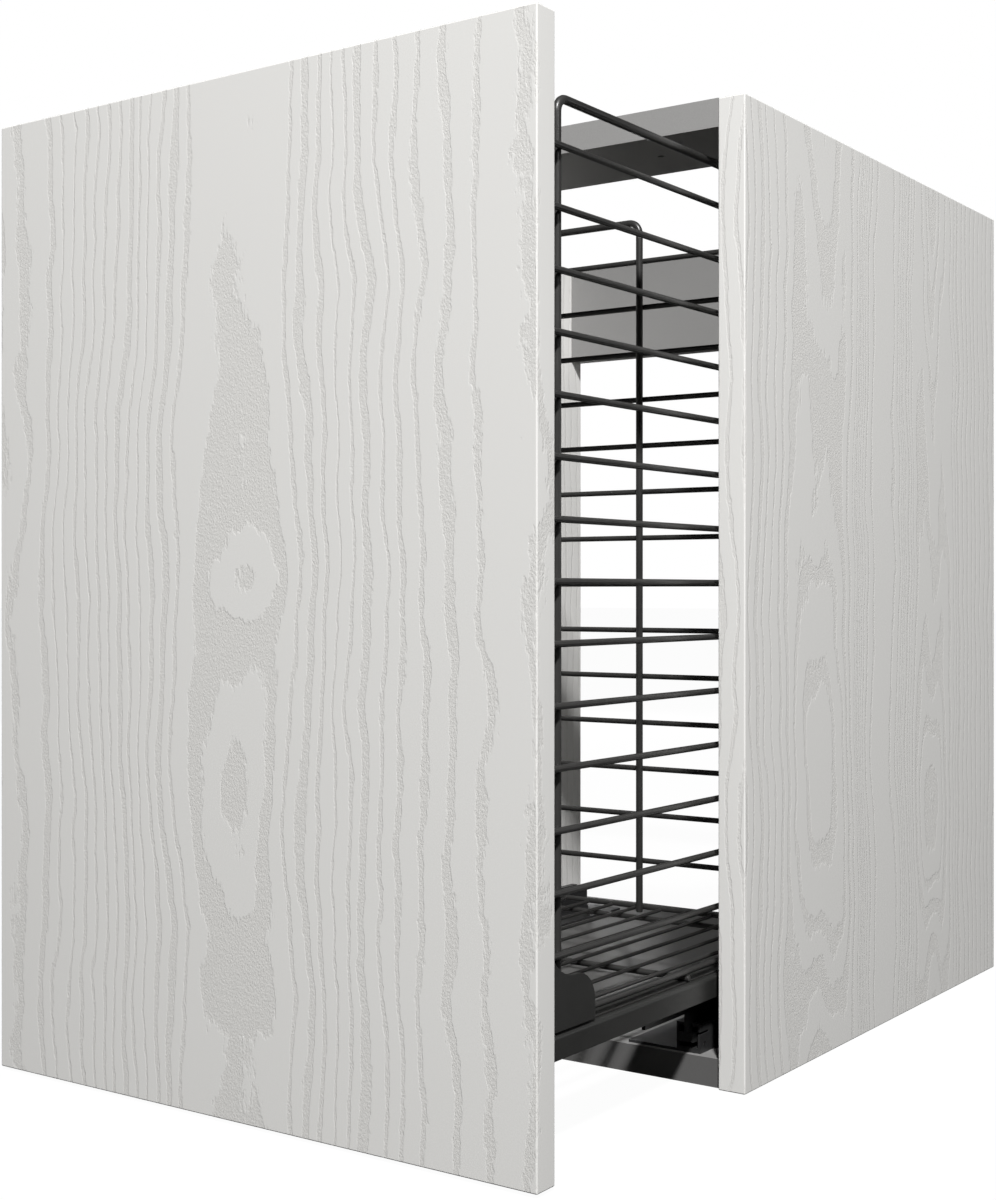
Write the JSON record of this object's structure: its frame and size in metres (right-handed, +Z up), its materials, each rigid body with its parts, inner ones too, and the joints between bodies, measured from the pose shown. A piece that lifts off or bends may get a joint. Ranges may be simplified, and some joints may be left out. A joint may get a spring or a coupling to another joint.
{
  "type": "pull-out larder unit",
  "caption": "Narrow kitchen base cabinet with a slab door on a pull-out wire basket that slides on two floor-mounted telescopic runners.",
  "frame": {"origin": "middle of the carcass footprint, on the underside of the bottom panel", "axes": "+Z up, -Y out of the front, the way the door pulls out, +X to the right seen from the front"},
  "size_m": [0.5, 0.7638, 0.72],
  "materials": {
    "white_board": "matt white foil with an embossed ash grain",
    "grey_board": "plain light grey laminate",
    "dowel_wood": "bare beech",
    "coated_wire": "satin anthracite powder coat",
    "frame_steel": "satin anthracite powder coat",
    "runner_steel": "dark coated rolled steel",
    "roller_steel": "polished",
    "black_plastic": "matt",
    "buffer_rubber": "clear soft",
    "screw_steel": "zinc plated"
  },
  "bodies": {
    "cabinet": {"side_panel_right": "white_board", "side_panel_left": "white_board", "bottom_panel": "grey_board", "top_front_rail": "grey_board", "back_rail": "grey_board", "dowels": "dowel_wood", "runner_base_right": "runner_steel", "runner_base_left": "runner_steel", "fixed_rail_right": "runner_steel", "fixed_rail_left": "runner_steel", "stop_pins": "screw_steel", "base_screws": "screw_steel"},
    "middle_right": {"middle_member_right": "runner_steel"},
    "lower_cage_set_right": {"lower_cage_right": "black_plastic", "lower_rollers_right": "roller_steel"},
    "upper_cage_set_right": {"upper_cage_right": "black_plastic", "upper_rollers_right": "roller_steel"},
    "middle_left": {"middle_member_left": "runner_steel"},
    "lower_cage_set_left": {"lower_cage_left": "black_plastic", "lower_rollers_left": "roller_steel"},
    "upper_cage_set_left": {"upper_cage_left": "black_plastic", "upper_rollers_left": "roller_steel"},
    "pull_out": {"basket_hoop_01": "coated_wire", "basket_hoop_02": "coated_wire", "basket_hoop_03": "coated_wire", "basket_hoop_04": "coated_wire", "basket_hoop_05": "coated_wire", "basket_hoop_06": "coated_wire", "basket_hoop_07": "coated_wire", "basket_hoop_08": "coated_wire", "basket_hoop_09": "coated_wire", "basket_hoop_10": "coated_wire", "basket_hoop_11": "coated_wire", "basket_hoop_12": "coated_wire", "basket_hoop_13": "coated_wire", "basket_hoop_14": "coated_wire", "basket_hoop_15": "coated_wire", "cross_wires": "coated_wire", "door_bracket_left": "frame_steel", "door_bracket_right": "frame_steel", "door_buffers": "buffer_rubber", "door_clips": "black_plastic", "door_panel": "white_board", "door_screws": "screw_steel", "foot_screws": "screw_steel", "frame_rail_left": "frame_steel", "frame_rail_right": "frame_steel", "front_cross_bar": "frame_steel", "front_upright": "coated_wire", "inner_rail_left": "runner_steel", "inner_rail_right": "runner_steel", "long_wires": "coated_wire", "rear_upright": "coated_wire", "side_upright_left": "coated_wire", "side_upright_right": "coated_wire"}
  },
  "joints": [
    {"name": "pull_out_slide", "type": "slide", "parent": "cabinet", "child": "pull_out", "axis": [0, -1, 0], "range_m": [-0.236, 0.214]},
    {"name": "middle_slide_right", "type": "slide", "parent": "cabinet", "child": "middle_right", "axis": [0, -1, 0], "range_m": [-0.118, 0.107]},
    {"name": "lower_cage_slide_right", "type": "slide", "parent": "cabinet", "child": "lower_cage_set_right", "axis": [0, -1, 0], "range_m": [-0.059, 0.0535]},
    {"name": "upper_cage_slide_right", "type": "slide", "parent": "middle_right", "child": "upper_cage_set_right", "axis": [0, -1, 0], "range_m": [-0.059, 0.0535]},
    {"name": "middle_slide_left", "type": "slide", "parent": "cabinet", "child": "middle_left", "axis": [0, -1, 0], "range_m": [-0.118, 0.107]},
    {"name": "lower_cage_slide_left", "type": "slide", "parent": "cabinet", "child": "lower_cage_set_left", "axis": [0, -1, 0], "range_m": [-0.059, 0.0535]},
    {"name": "upper_cage_slide_left", "type": "slide", "parent": "middle_left", "child": "upper_cage_set_left", "axis": [0, -1, 0], "range_m": [-0.059, 0.0535]}
  ],
  "couplings": [
    {"joint": "middle_slide_right", "follows": "pull_out_slide", "ratio": 0.5},
    {"joint": "lower_cage_slide_right", "follows": "pull_out_slide", "ratio": 0.25},
    {"joint": "upper_cage_slide_right", "follows": "pull_out_slide", "ratio": 0.25},
    {"joint": "middle_slide_left", "follows": "pull_out_slide", "ratio": 0.5},
    {"joint": "lower_cage_slide_left", "follows": "pull_out_slide", "ratio": 0.25},
    {"joint": "upper_cage_slide_left", "follows": "pull_out_slide", "ratio": 0.25}
  ]
}
